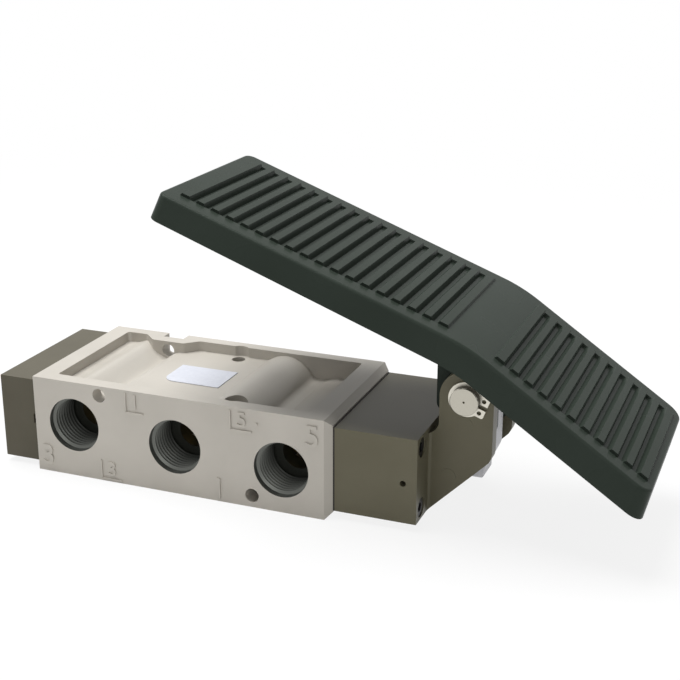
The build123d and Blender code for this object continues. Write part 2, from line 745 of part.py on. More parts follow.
clip_inner_radius = PIN_RADIUS - CIRCLIP_GROOVE_DEPTH + RUNNING_GAP
clip_hole_x = clip_inner_radius + CIRCLIP_LUG_REACH - CIRCLIP_HOLE_INSET
clip_hole_y = (CIRCLIP_GAP + CIRCLIP_LUG_WIDTH) / 2
with BuildPart() as circlips:
    for face_y in (-clip_inner_face, clip_inner_face + CIRCLIP_THICKNESS):
        with BuildSketch(facing_front(pivot_x, PIVOT_Z, face_y)):
            Circle(clip_inner_radius + CIRCLIP_BAND)
            with Locations(Rotation(0, 0, CIRCLIP_LUG_ANGLE)):
                Rectangle(
                    clip_inner_radius + CIRCLIP_LUG_REACH,
                    2 * CIRCLIP_LUG_WIDTH + CIRCLIP_GAP,
                    align=(Align.MIN, Align.CENTER),
                )
            fillet(vertices(), CIRCLIP_HOLE_RADIUS)
            Circle(clip_inner_radius, mode=Mode.SUBTRACT)
            with Locations(Rotation(0, 0, CIRCLIP_LUG_ANGLE)):
                Rectangle(
                    2 * EAR_RADIUS,
                    CIRCLIP_GAP,
                    align=(Align.MIN, Align.CENTER),
                    mode=Mode.SUBTRACT,
                )
                with Locations((clip_hole_x, clip_hole_y), (clip_hole_x, -clip_hole_y)):
                    Circle(CIRCLIP_HOLE_RADIUS, mode=Mode.SUBTRACT)
        extrude(amount=CIRCLIP_THICKNESS)
save(circlips.part, "pivot_circlips")


def along(start, end):
    """Points of the pedal's top line, from start mm past the toe to end mm short of the heel."""
    return [
        (toe_x + start * toe_dir[0], toe_z + start * toe_dir[1]),
        (knee_x, knee_z),
        (heel_x - end * heel_dir[0], heel_z - end * heel_dir[1]),
    ]


def end_plane(x, z, direction, outward, flare):
    """Plane of an end wall that flares outwards from the top edge at (x, z)."""
    lean = flare / PEDAL_SKIRT
    up = (-direction[1], direction[0])
    normal = (
        outward * direction[0] + lean * up[0],
        outward * direction[1] + lean * up[1],
    )
    return Plane(origin=(x, 0, z), x_dir=(0, 1, 0), z_dir=(normal[0], 0, normal[1]))


toe_ribs = int((TOE_LENGTH - TOE_RIB_START - TOE_RIB_MARGIN) / RIB_PITCH) + 1
heel_ribs = int((HEEL_LENGTH - HEEL_RIB_START - HEEL_RIB_MARGIN) / RIB_PITCH) + 1
rib_length = PEDAL_WIDTH - 2 * RIB_INSET

# Pedal: tray swept along the bent top line, hollow below, ribbed on top, with two lugs
with BuildPart() as pedal:
    with BuildLine(Plane.XZ):
        top_line = FilletPolyline(*along(-2 * HEEL_FLARE, -2 * HEEL_FLARE), radius=KNEE_RADIUS)
    tray_end = Plane(origin=top_line @ 0, x_dir=(0, 1, 0), z_dir=top_line % 0)
    with BuildSketch(tray_end):
        with BuildLine():
            Polyline(
                (-PEDAL_WIDTH / 2, 0),
                (PEDAL_WIDTH / 2, 0),
                (PEDAL_WIDTH / 2 + SIDE_FLARE, -PEDAL_SKIRT),
                (-PEDAL_WIDTH / 2 - SIDE_FLARE, -PEDAL_SKIRT),
                close=True,
            )
        make_face()
    sweep(path=top_line)
    split(bisect_by=end_plane(toe_x, toe_z, toe_dir, -1, TOE_FLARE), keep=Keep.BOTTOM)
    split(bisect_by=end_plane(heel_x, heel_z, heel_dir, 1, HEEL_FLARE), keep=Keep.BOTTOM)
    toe_wall = faces().sort_by(Axis.X)[0]
    fillet(toe_wall.edges().filter_by(Axis.Y, reverse=True), TOE_CORNER)
    heel_wall = faces().sort_by(Axis.X)[-1]
    fillet(heel_wall.edges().filter_by(Axis.Y, reverse=True), HEEL_CORNER)
    tread = faces().filter_by(lambda face: face.normal_at().Z > 0.7)
    rim = [
        edge
        for face in tread
        for edge in face.edges()
        if sum(edge.is_same(other) for near in tread for other in near.edges()) == 1
    ]
    fillet(rim, PEDAL_EDGE)
    with BuildLine(Plane.XZ):
        inner_line = FilletPolyline(*along(PEDAL_WALL, PEDAL_WALL), radius=KNEE_RADIUS)
    inner_end = Plane(origin=inner_line @ 0, x_dir=(0, 1, 0), z_dir=inner_line % 0)
    with BuildSketch(inner_end):
        with Locations((0, -PEDAL_PLATE)):
            Rectangle(
                PEDAL_WIDTH - 2 * PEDAL_WALL,
                2 * PEDAL_SKIRT,
                align=(Align.CENTER, Align.MAX),
            )
    sweep(path=inner_line, mode=Mode.SUBTRACT)
    with BuildSketch(inner_end):
        with Locations((-(lug_inner + lug_outer) / 2, 0), ((lug_inner + lug_outer) / 2, 0)):
            with Locations((0, -PEDAL_PLATE / 2)):
                Rectangle(
                    LUG_THICKNESS,
                    PEDAL_SKIRT - PEDAL_PLATE / 2,
                    align=(Align.CENTER, Align.MAX),
                )
    sweep(path=inner_line)
    for origin, direction, length, count in (
        ((toe_x, toe_z), toe_dir, TOE_LENGTH, TOE_WEB_COUNT),
        ((knee_x, knee_z), heel_dir, HEEL_LENGTH, HEEL_WEB_COUNT),
    ):
        for place in range(count):
            reach = length * (place + 1) / (count + 1)
            web = Plane(
                origin=(origin[0] + reach * direction[0], 0, origin[1] + reach * direction[1]),
                x_dir=(0, 1, 0),
                z_dir=(direction[0], 0, direction[1]),
            )
            with BuildSketch(web):
                with Locations((0, -PEDAL_PLATE / 2)):
                    Rectangle(
                        PEDAL_WIDTH - PEDAL_WALL,
                        WEB_DEPTH,
                        align=(Align.CENTER, Align.MAX),
                    )
            extrude(amount=PEDAL_WALL / 2, both=True)
    lug_top = knee_z - PEDAL_PLATE + LUG_BITE
    for side in (-1, 1):
        with BuildSketch(Plane.XZ.offset(-side * (lug_inner + lug_outer) / 2)):
            with BuildLine():
                Polyline(
                    (pivot_x - LUG_BEHIND, PIVOT_Z - LUG_DROP_BEHIND),
                    (pivot_x + LUG_AHEAD, PIVOT_Z - LUG_DROP_AHEAD),
                    (pivot_x + LUG_AHEAD, lug_top
                     - (LUG_AHEAD - KNEE_AHEAD) * tan(radians(HEEL_SLOPE))),
                    (knee_x, lug_top),
                    (pivot_x - LUG_BEHIND, lug_top
                     + (KNEE_AHEAD + LUG_BEHIND) * tan(radians(TOE_SLOPE))),
                    close=True,
                )
            make_face()
            fillet(vertices().group_by(Axis.Y)[0] + vertices().group_by(Axis.Y)[1], LUG_CORNER)
        extrude(amount=LUG_THICKNESS / 2, both=True)
    rib_places = [
        (knee_x - (TOE_RIB_START + step * RIB_PITCH) * toe_dir[0],
         knee_z - (TOE_RIB_START + step * RIB_PITCH) * toe_dir[1], -TOE_SLOPE)
        for step in range(toe_ribs)
    ] + [
        (knee_x + (HEEL_RIB_START + step * RIB_PITCH) * heel_dir[0],
         knee_z + (HEEL_RIB_START + step * RIB_PITCH) * heel_dir[1], -HEEL_SLOPE)
        for step in range(heel_ribs)
    ]
    with BuildSketch(Plane.XZ.offset(-rib_length / 2)):
        for x, z, tilt in rib_places:
            with BuildLine(Location((x, z, 0), (0, 0, tilt))):
                Polyline(
                    (-RIB_WIDTH / 2, 0),
                    (-RIB_WIDTH / 2, -PEDAL_PLATE / 4),
                    (RIB_WIDTH / 2, -PEDAL_PLATE / 4),
                    (RIB_WIDTH / 2, 0),
                )
                FilletPolyline(
                    (RIB_WIDTH / 2, 0),
                    (RIB_TOP_WIDTH / 2, RIB_HEIGHT),
                    (-RIB_TOP_WIDTH / 2, RIB_HEIGHT),
                    (-RIB_WIDTH / 2, 0),
                    radius=RIB_EDGE,
                )
            make_face()
    extrude(amount=rib_length)
    with Locations(facing_front(pivot_x, PIVOT_Z)):
        Hole(PIN_RADIUS + 4 * RUNNING_GAP, depth=BODY_WIDTH)
    with Locations(facing_front(pivot_x, PIVOT_Z + LOCK_PIN_ABOVE)):
        Hole(LOCK_PIN_RADIUS, depth=BODY_WIDTH)
save(pedal.part, "pedal")

# Lever: wide hub between the lugs, narrower blade with a forked tail around the rod's eye
tail_top_z = PIVOT_Z - TAIL_TOP
tail_base_z = PIVOT_Z - TAIL_BELOW
lever_left = pivot_x - LEVER_BEHIND
lever_right = pivot_x + LEVER_AHEAD
lever_top = PIVOT_Z + LEVER_ABOVE
with BuildPart() as lever:
    with BuildSketch(Plane.XZ.offset(-lug_inner)):
        with BuildLine():
            Polyline(
                (lever_left, PIVOT_Z - HUB_BELOW),
                (lever_left, lever_top + LEVER_TOP_HALF_FALL),
                (lever_right, lever_top - LEVER_TOP_HALF_FALL),
                (lever_right, PIVOT_Z - HUB_BELOW),
                close=True,
            )
        make_face()
    extrude(amount=2 * lug_inner)
    with BuildSketch(Plane.XZ.offset(-LEVER_WIDTH / 2)):
        with BuildLine():
            Polyline(
                (lever_left, PIVOT_Z),
                (lever_left, tail_top_z + TAIL_BACK / 2),
                (pivot_x - TAIL_BACK, tail_top_z),
                (pivot_x - TAIL_BACK, tail_base_z),
                (pivot_x + TAIL_FRONT, tail_base_z),
                (pivot_x + TAIL_FRONT, PIVOT_Z - TAPER_END),
                (lever_right, PIVOT_Z - TAPER_START),
                (lever_right, PIVOT_Z),
                close=True,
            )
        make_face()
        fillet(vertices().group_by(Axis.Y)[0], TAIL_CORNER)
        tapers = vertices().filter_by(
            lambda v: v.X > pivot_x and -TAPER_END - 1 < v.Y - PIVOT_Z < -TAPER_START + 1
        )
        fillet(tapers, TAPER_RADIUS)
    extrude(amount=LEVER_WIDTH)
    pocket_wall = link_x + eye_radius + EYE_GAP
    fork_top = spool_z + link_rise + eye_radius + 4 * EYE_GAP
    with Locations((pivot_x - TAIL_BACK, 0, fork_top)):
        Box(
            pocket_wall - pivot_x + TAIL_BACK,
            EYE_THICKNESS + 2 * EYE_GAP,
            fork_top - tail_base_z,
            align=(Align.MIN, Align.CENTER, Align.MAX),
            mode=Mode.SUBTRACT,
        )
    with Locations(facing_front(pivot_x, PIVOT_Z)):
        Hole(PIN_RADIUS + RUNNING_GAP + LEVER_BUSH_WALL, depth=BODY_WIDTH)
    with Locations(facing_front(pivot_x, PIVOT_Z + LOCK_PIN_ABOVE)):
        Hole(LOCK_PIN_RADIUS, depth=BODY_WIDTH)
    with Locations(facing_front(link_x, spool_z)):
        Hole(LINK_PIN_RADIUS, depth=BODY_WIDTH)
save(lever.part, "pedal_lever")

with BuildPart() as lever_bush:
    with BuildSketch(facing_front(pivot_x, PIVOT_Z, -lug_inner)):
        Circle(PIN_RADIUS + RUNNING_GAP + LEVER_BUSH_WALL)
        Circle(PIN_RADIUS + RUNNING_GAP, mode=Mode.SUBTRACT)
    extrude(amount=-2 * lug_inner)
save(lever_bush.part, "lever_bush")

# Spring pin that locks the lever in the pedal, and the link pin in the fork
with BuildPart() as lock_pin:
    with BuildSketch(facing_front(pivot_x, PIVOT_Z + LOCK_PIN_ABOVE, -lug_outer)):
        Circle(LOCK_PIN_RADIUS)
        Circle(LOCK_PIN_BORE, mode=Mode.SUBTRACT)
        Rectangle(
            2 * LOCK_PIN_RADIUS,
            LOCK_PIN_SLIT,
            align=(Align.MIN, Align.CENTER),
            mode=Mode.SUBTRACT,
        )
    extrude(amount=-2 * lug_outer)
save(lock_pin.part, "lever_lock_pin")

with BuildPart() as link_pin:
    with BuildSketch(facing_front(link_x, spool_z, -LEVER_WIDTH / 2)):
        Circle(LINK_PIN_RADIUS)
    extrude(amount=-LEVER_WIDTH)
save(link_pin.part, "link_pin")

print(f"spool stroke {stroke:.3f} mm at {PEDAL_TRAVEL} degrees, link pin rises {link_rise:.3f} mm")
print(f"pivot at x {pivot_x:.2f}, z {PIVOT_Z:.2f}; link pin at x {link_x:.2f}, z {spool_z:.2f}")
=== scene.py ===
# %% [markdown]
# Foot pedal air valve: a cast valve body with five ports, two dark end castings, a ribbed pedal.
# The solids come from the CAD model as a fixed frame, in metres. This script dresses them. Each
# gets smooth shading, soft edges and a material, and what is too fine for the solids is added,
# such as the threads.

import json
from math import cos, pi, radians, sin

import bpy
from mathutils import Matrix, Vector


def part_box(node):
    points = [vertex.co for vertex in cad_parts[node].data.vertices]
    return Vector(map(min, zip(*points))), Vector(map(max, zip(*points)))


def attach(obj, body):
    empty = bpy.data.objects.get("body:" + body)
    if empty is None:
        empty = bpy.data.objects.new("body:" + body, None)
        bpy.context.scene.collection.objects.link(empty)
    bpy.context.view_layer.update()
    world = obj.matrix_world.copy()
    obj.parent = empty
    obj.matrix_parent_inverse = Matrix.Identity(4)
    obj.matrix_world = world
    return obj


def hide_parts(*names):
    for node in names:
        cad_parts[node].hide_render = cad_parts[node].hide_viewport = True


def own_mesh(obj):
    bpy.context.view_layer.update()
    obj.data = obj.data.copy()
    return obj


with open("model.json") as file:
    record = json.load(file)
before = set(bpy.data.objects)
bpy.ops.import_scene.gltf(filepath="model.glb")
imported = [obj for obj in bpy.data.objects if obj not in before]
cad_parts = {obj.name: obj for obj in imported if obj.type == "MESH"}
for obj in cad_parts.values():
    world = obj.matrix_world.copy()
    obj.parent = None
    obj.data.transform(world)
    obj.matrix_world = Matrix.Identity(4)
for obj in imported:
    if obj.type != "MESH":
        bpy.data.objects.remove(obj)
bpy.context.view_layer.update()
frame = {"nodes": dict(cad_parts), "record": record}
MM = 0.001
print("nodes:", sorted(frame["nodes"]))

# %% [markdown]
# Pieces are made with operators, as by hand. An operator acts on whatever is selected, and
# freshly imported meshes arrive selected, so each step starts from nothing selected. A finished
# piece has its place in its mesh, with the object itself at the origin, so that patterns on
# Object coordinates have the real object's scale.


# %% Selection and finishing helpers
def only(piece):
    """Select one object alone and make it the active one."""
    if bpy.context.mode != "OBJECT":
        bpy.ops.object.mode_set(mode="OBJECT")
    bpy.ops.object.select_all(action="DESELECT")
    piece.select_set(True)
    bpy.context.view_layer.objects.active = piece


def settle(piece):
    """Put the object's place, turn and scale into its mesh."""
    only(piece)
    bpy.ops.object.transform_apply(location=True, rotation=True, scale=True)
    return piece


def modify(piece, kind, **settings):
    """Add a modifier with its settings and apply it."""
    only(piece)
    modifier = piece.modifiers.new(kind.lower(), kind)
    for name, value in settings.items():
        setattr(modifier, name, value)
    bpy.ops.object.modifier_apply(modifier=modifier.name)


def size_mm(piece):
    """A piece's extent along X, Y and Z in millimetres, for printing."""
    return [round(length / MM, 2) for length in piece.dimensions]


# %% [markdown]
# The mesh of a CAD solid is loose triangles, each flat. It could be shaded as it is, but every
# edge would look knife-sharp. So on a copy the doubled corners are merged and flat neighbours
# dissolved into one face, until only real edges are left. A narrow bevel on those catches the
# light as a cast or moulded edge does, and smooth shading follows the round surfaces.

# %% Copy a CAD node as a finished skin
WELD_DISTANCE = 0.002
FLAT_WITHIN = radians(0.4)


def merge(piece):
    """Merge doubled corners and dissolve flat neighbours into one face."""
    only(piece)
    bpy.ops.object.mode_set(mode="EDIT")
    bpy.ops.mesh.select_all(action="SELECT")
    bpy.ops.mesh.remove_doubles(threshold=WELD_DISTANCE * MM)
    bpy.ops.mesh.dissolve_limited(angle_limit=FLAT_WITHIN)
    bpy.ops.object.mode_set(mode="OBJECT")


def skin(node, body, edge=0.0, angle=30.0, carve=None):
    """A merged copy of a CAD node, shown in its place, with a bevel of edge millimetres."""
    piece = bpy.data.objects.new(f"{node}_skin", frame["nodes"][node].data.copy())
    bpy.context.scene.collection.objects.link(piece)
    merge(piece)
    if carve:
        carve(piece)
        merge(piece)
    if edge:
        modify(
            piece,
            "BEVEL",
            width=edge * MM,
            segments=2,
            limit_method="ANGLE",
            angle_limit=radians(angle),
        )
    only(piece)
    bpy.ops.object.shade_smooth_by_angle(angle=radians(angle))
    modify(piece, "WEIGHTED_NORMAL", keep_sharp=True)
    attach(piece, body)
    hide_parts(node)
    print(piece.name, len(piece.data.polygons), "faces")
    return piece


# %% [markdown]
# Colours are written as they look on a screen, in sRGB hex, as colour charts give them. Blender
# computes in linear light, so one function turns them.


# %% Screen colours
def linear(code):
    """An sRGB hex colour as linear RGBA."""
    levels = [int(code[place:place + 2], 16) / 255 for place in (0, 2, 4)]
    return tuple(
        [lv / 12.92 if lv <= 0.04045 else ((lv + 0.055) / 1.055) ** 2.4 for lv in levels] + [1.0]
    )


print("the grey 808080 is", round(linear("808080")[0], 3), "in linear light")

# %% [markdown]
# A material is a small network of nodes. It could be wired by hand in the Shader Editor. Here
# one function adds a node of any kind with its settings, values and links, so that a network
# reads from its pattern down to its shader.


# %% Nodes and materials
def add_node(tree, kind, values=None, links=None, stops=(), **settings):
    """Add a node: its settings, socket values, the sockets that feed it, a ramp's colours."""
    node = tree.nodes.new(kind)
    for name, value in settings.items():
        setattr(node, name, value)
    for socket, value in (values or {}).items():
        node.inputs[socket].default_value = value
    for socket, source in (links or {}).items():
        tree.links.new(source, node.inputs[socket])
    for number, (position, code) in enumerate(stops):
        node.color_ramp.elements[number].position = position
        node.color_ramp.elements[number].color = linear(code)
    return node


def start_material(name):
    """An empty node material and its Object coordinates."""
    material = bpy.data.materials.new(name)
    material.use_nodes = True
    tree = material.node_tree
    tree.nodes.clear()
    place = add_node(tree, "ShaderNodeTexCoord").outputs["Object"]
    return material, tree, place


def close_material(tree, values, links):
    """The Principled shader with its values and links, joined to the output."""
    shader = add_node(tree, "ShaderNodeBsdfPrincipled", values, links)
    add_node(tree, "ShaderNodeOutputMaterial", links={"Surface": shader.outputs["BSDF"]})


# %% [markdown]
# A pattern's scale comes from a real size, such as the grain of a blasted casting. The scene is
# in metres, so a scale of 1 gives grains about a metre across. Noise mostly stays between 0.3
# and 0.7, so colours change over that middle. Where a finish has relief, a Bump node draws it as
# if it were 0.05 mm deep, and its strength tells the finishes apart.

# %% Pattern scale, relief and wearing a material
MIDDLE = (0.3, 0.7)
RELIEF_DEPTH = 0.05


def per_mm(size):
    """Noise scale, per metre, of a pattern whose grains are this many millimetres across."""
    return 1.0 / (size * MM)


def wear(piece, material):
    """Give a piece its material."""
    piece.data.materials.clear()
    piece.data.materials.append(material)


print("a grain of 0.4 mm takes a scale of", round(per_mm(0.4)))

# %% [markdown]
# The camera stands where the photograph was taken from: in front, turned by 21 degrees towards
# the pedal's end, looking down by 19 degrees through a long lens. A constraint could aim it at
# the object. Its axes are built as vectors instead, so that it needs no aiming.

# %% Camera
EYE = Vector((169.73, -332.19, 168.94)) * MM
AHEAD = Vector((-0.34216, 0.87999, -0.32947)).normalized()
ROLL = radians(0.122)
LENS = 69.74
side = AHEAD.cross(Vector((0, 0, 1))).normalized()
top = side.cross(AHEAD)
side, top = side * cos(ROLL) + top * sin(ROLL), top * cos(ROLL) - side * sin(ROLL)
camera_data = bpy.data.cameras.new("camera")
camera_data.lens = LENS
camera_data.sensor_width = 36.0
camera_data.clip_start = 0.01
camera = bpy.data.objects.new("camera", camera_data)
bpy.context.scene.collection.objects.link(camera)
camera.matrix_world = Matrix((
    (side.x, top.x, -AHEAD.x, EYE.x),
    (side.y, top.y, -AHEAD.y, EYE.y),
    (side.z, top.z, -AHEAD.z, EYE.z),
    (0, 0, 0, 1),
))
bpy.context.scene.camera = camera
print("camera", round(EYE.length, 3), "m from the origin")

# %% [markdown]
# A product picture is lit by large soft boxes around the table. The big box overhead and to the
# left gives the broad light, a weak one in front opens the shadows, and a strip on the right
# draws the bright edge of the pedal. Point lamps would be simpler, but their shadows are hard.


# %% Lamps
def soft_box(name, place, aim, size, power):
    """A rectangular area lamp at a place, turned to a point: metres and watts."""
    lamp = bpy.data.lights.new(name, "AREA")
    lamp.shape = "RECTANGLE"
    lamp.size, lamp.size_y = size
    lamp.energy = power
    stand = bpy.data.objects.new(name, lamp)
    bpy.context.scene.collection.objects.link(stand)
    stand.location = place
    stand.rotation_euler = (Vector(aim) - Vector(place)).to_track_quat("-Z", "Y").to_euler()
    print(name, power, "W")


soft_box("overhead_box", (-0.2, 0.05, 0.85), aim=(0.0, 0.0, 0.03), size=(0.6, 0.6), power=10.4)
soft_box("front_box", (0.35, -0.9, 0.35), aim=(0.0, 0.0, 0.03), size=(0.7, 0.5), power=1.3)
soft_box("side_strip", (0.8, 0.1, 0.35), aim=(0.1, 0.0, 0.05), size=(0.3, 0.6), power=0.5)

# %% [markdown]
# A white room fills the rest. As strong a light as it looks would flatten the object, so it is
# split by the kind of ray: the camera, mirrors and glass see it white, and the light that it
# throws on the object is only a sixth of that. The Standard view shows a colour about as it is
# written, where a film-like view would grey it.

# %% White room
ROOM_LIGHT = 0.17
ROOM_SEEN = 1.0
WHITE = (1, 1, 1, 1)


def seen_rays(tree):
    """1 for rays that look at a surface directly, in a mirror or through glass, 0 for light."""
    rays = add_node(tree, "ShaderNodeLightPath")
    direct = add_node(
        tree,
        "ShaderNodeMath",
        links={0: rays.outputs["Is Camera Ray"], 1: rays.outputs["Is Glossy Ray"]},
        operation="MAXIMUM",
    )
    return add_node(
        tree,
        "ShaderNodeMath",
        links={0: direct.outputs[0], 1: rays.outputs["Is Transmission Ray"]},
        operation="MAXIMUM",
    ).outputs[0]


world = bpy.data.worlds.new("white_room")
bpy.context.scene.world = world
world.use_nodes = True
tree = world.node_tree
tree.nodes.clear()
seen = seen_rays(tree)
light = add_node(tree, "ShaderNodeBackground", {"Color": WHITE, "Strength": ROOM_LIGHT})
look = add_node(tree, "ShaderNodeBackground", {"Color": WHITE, "Strength": ROOM_SEEN})
choice = add_node(
    tree,
    "ShaderNodeMixShader",
    links={0: seen, 1: light.outputs[0], 2: look.outputs[0]},
)
add_node(tree, "ShaderNodeOutputWorld", links={"Surface": choice.outputs[0]})
bpy.context.scene.view_settings.view_transform = "Standard"
print("the room lights the object with", ROOM_LIGHT, "of its white")

# %% [markdown]
# The object stands on a table that is much larger than it, so that no near edge shows. Only its
# top is seen, so a plane is enough where a real table would need a slab.

# %% Table
TABLE_SIZE = 6.0
bpy.ops.object.select_all(action="DESELECT")
bpy.ops.mesh.primitive_plane_add(size=TABLE_SIZE, location=(0, 0, 0))
table = settle(bpy.context.active_object)
table.name = "table"
print("table", TABLE_SIZE, "m wide")

# %% [markdown]
# The table wears a sheet of white paper. Lit paper alone would look grey far off, and a glowing
# sheet would lose the object's shadow. So the camera sees a mix of the two: a sheet that keeps a
# little of the soft shadow near the object, and pure white far off.

# %% Material: white paper
PAPER_CLOUDS = 40.0
NEAR_OBJECT = 0.12
FAR_OFF = 0.5
GLOW_NEAR = 0.85
paper, tree, place = start_material("white_paper")
clouds = add_node(
    tree, "ShaderNodeTexNoise", {"Scale": per_mm(PAPER_CLOUDS)}, {"Vector": place}
)
tint = add_node(
    tree,
    "ShaderNodeValToRGB",
    links={"Fac": clouds.outputs["Fac"]},
    stops=((0.0, "f8f8f8"), (1.0, "fafafa")),
)
sheet = add_node(
    tree,
    "ShaderNodeBsdfPrincipled",
    {"Roughness": 0.9, "Specular IOR Level": 0.2},
    {"Base Color": tint.outputs["Color"]},
)
reach = add_node(tree, "ShaderNodeVectorMath", links={0: place}, operation="LENGTH")
glow = add_node(
    tree,
    "ShaderNodeMapRange",
    {"From Min": NEAR_OBJECT, "From Max": FAR_OFF, "To Min": GLOW_NEAR, "To Max": 1.0},
    {"Value": reach.outputs["Value"]},
)
share = add_node(
    tree,
    "ShaderNodeMath",
    links={0: seen_rays(tree), 1: glow.outputs["Result"]},
    operation="MULTIPLY",
)
white = add_node(tree, "ShaderNodeEmission", {"Color": WHITE, "Strength": 1.0})
mixed = add_node(
    tree,
    "ShaderNodeMixShader",
    links={0: share.outputs[0], 1: sheet.outputs["BSDF"], 2: white.outputs["Emission"]},
)
add_node(tree, "ShaderNodeOutputMaterial", links={"Surface": mixed.outputs["Shader"]})
wear(table, paper)
print("the paper looks pure white from", FAR_OFF, "m on")

# %% [markdown]
# The body, the end cap and the bracket are blasted die castings, so one recipe makes all three.
# A picture of a casting could be wrapped round them, but noise on Object coordinates needs no
# unwrapping and has no seams. A fine noise is the blasted grain, and a broad, faint mottle keeps
# the large faces from looking flat.

# %% Recipe: blasted casting
MOTTLE = 18.0
CAST_GLOSS_SPREAD = 0.05


def satin_casting(name, low, high, metallic, roughness, grain_mm, bump, sheen):
    """A blasted casting: broad mottle in colour, fine grain in height, soft variation in gloss."""
    material, tree, place = start_material(name)
    mottle = add_node(
        tree, "ShaderNodeTexNoise", {"Scale": per_mm(MOTTLE), "Detail": 4.0}, {"Vector": place}
    )
    grain = add_node(
        tree, "ShaderNodeTexNoise", {"Scale": per_mm(grain_mm), "Detail": 3.0}, {"Vector": place}
    )
    relief = add_node(
        tree,
        "ShaderNodeBump",
        {"Strength": bump, "Distance": RELIEF_DEPTH * MM},
        {"Height": grain.outputs["Fac"]},
    )
    gloss = add_node(
        tree,
        "ShaderNodeMapRange",
        {"To Min": roughness - CAST_GLOSS_SPREAD, "To Max": roughness + CAST_GLOSS_SPREAD},
        {"Value": mottle.outputs["Fac"]},
    )
    colour = add_node(
        tree,
        "ShaderNodeValToRGB",
        links={"Fac": mottle.outputs["Fac"]},
        stops=zip(MIDDLE, (low, high)),
    )
    close_material(
        tree,
        {"Metallic": metallic, "Specular IOR Level": sheen},
        {
            "Base Color": colour.outputs["Color"],
            "Roughness": gloss.outputs["Result"],
            "Normal": relief.outputs["Normal"],
        },
    )
    print("made", name)
    return material


# %% [markdown]
# The valve body is zinc-aluminium with a satin nickel-coloured finish: pale, slightly warm, and
# duller than bare metal, so metallic is only 0.08. Its grain of about 0.25 mm is drawn at 0.4 mm
# so that it shows. The relief is the strongest of the three, because no paint fills the grain.

# %% Material: satin die-cast metal
nickel_casting = satin_casting(
    "satin_nickel_casting",
    "b8b3aa",
    "c0bbb2",
    metallic=0.08,
    roughness=0.42,
    grain_mm=0.4,
    bump=0.35,
    sheen=0.25,
)

# %% [markdown]
# The end cap and the bracket are the same kind of casting under a thin dark brown-grey paint,
# which shows the grain through. Paint is not a metal to the light: metallic is 0, and the gloss
# comes from its clear surface. The paint is drawn in two copies: the bracket's is lighter, with
# painted light where light falls on it from the right, and the cap's is darker and duller, with
# painted shade.

# %% Material: dark painted casting
# The bracket's copy is lighter: painted light, where light falls on it from the right.
dark_paint_painted_light = satin_casting(
    "dark_brown_paint_painted_light",
    "65614f",
    "6b6755",
    metallic=0.0,
    roughness=0.38,
    grain_mm=0.5,
    bump=0.3,
    sheen=0.2,
)
# The cap's copy is darker and duller: painted shade.
cap_paint_painted_shade = satin_casting(
    "dark_brown_paint_painted_shade",
    "595549",
    "5f5b4f",
    metallic=0.0,
    roughness=0.45,
    grain_mm=0.5,
    bump=0.3,
    sheen=0.1,
)

# %% [markdown]
# The pedal has a smooth near-black paint with a green tinge. It is glossy enough to mirror the
# soft boxes as broad streaks. A sprayed paint is never quite level, so a faint orange peel of
# 1.5 mm breaks the reflections up a little, and a wide haze varies the gloss.

# %% Material: pedal paint
PEEL = 1.5
HAZE = 25.0
pedal_paint, tree, place = start_material("black_green_paint")
peel = add_node(
    tree, "ShaderNodeTexNoise", {"Scale": per_mm(PEEL), "Detail": 2.0}, {"Vector": place}
)
haze = add_node(tree, "ShaderNodeTexNoise", {"Scale": per_mm(HAZE)}, {"Vector": place})
relief = add_node(
    tree,
    "ShaderNodeBump",
    {"Strength": 0.12, "Distance": RELIEF_DEPTH * MM},
    {"Height": peel.outputs["Fac"]},
)
gloss = add_node(
    tree, "ShaderNodeMapRange", {"To Min": 0.24, "To Max": 0.3}, {"Value": haze.outputs["Fac"]}
)
colour = add_node(
    tree,
    "ShaderNodeValToRGB",
    links={"Fac": haze.outputs["Fac"]},
    stops=zip(MIDDLE, ("2f3630", "333a34")),
)
close_material(
    tree,
    {"Metallic": 0.0, "IOR": 1.45, "Specular IOR Level": 0.05},
    {
        "Base Color": colour.outputs["Color"],
        "Roughness": gloss.outputs["Result"],
        "Normal": relief.outputs["Normal"],
    },
)
print("made", pedal_paint.name)

# %% [markdown]
# Turned steel, such as the pivot pin, is bright and shows fine tool marks round its axis. Noise
# would scatter them, so a wave texture draws them as rings about that axis. At its scale here
# the rings are 0.3 mm apart, coarser than a real finishing cut, so that they show.

# %% Recipe: turned steel
RING_SCALE = per_mm(1.0)


def turned_steel(name, low, high, centre, roughness):
    """Bright steel with tool marks round an axis along Y through the centre, in millimetres."""
    material, tree, place = start_material(name)
    centred = add_node(
        tree,
        "ShaderNodeMapping",
        {"Location": (-centre[0] * MM, 0.0, -centre[1] * MM)},
        {"Vector": place},
    )
    marks = add_node(
        tree,
        "ShaderNodeTexWave",
        {"Scale": RING_SCALE, "Distortion": 0.4},
        {"Vector": centred.outputs["Vector"]},
        wave_type="RINGS",
        rings_direction="Y",
    )
    relief = add_node(
        tree,
        "ShaderNodeBump",
        {"Strength": 0.2, "Distance": RELIEF_DEPTH * MM},
        {"Height": marks.outputs["Fac"]},
    )
    colour = add_node(
        tree,
        "ShaderNodeValToRGB",
        links={"Fac": marks.outputs["Fac"]},
        stops=((0.0, low), (1.0, high)),
    )
    close_material(
        tree,
        {"Metallic": 1.0, "Roughness": roughness},
        {"Base Color": colour.outputs["Color"], "Normal": relief.outputs["Normal"]},
    )
    return material


# %% [markdown]
# The pivot pin and the link pin are turned, each about its own axis. The middle of a pin's box
# gives that axis, so the rings stay centred on a pin wherever it is.

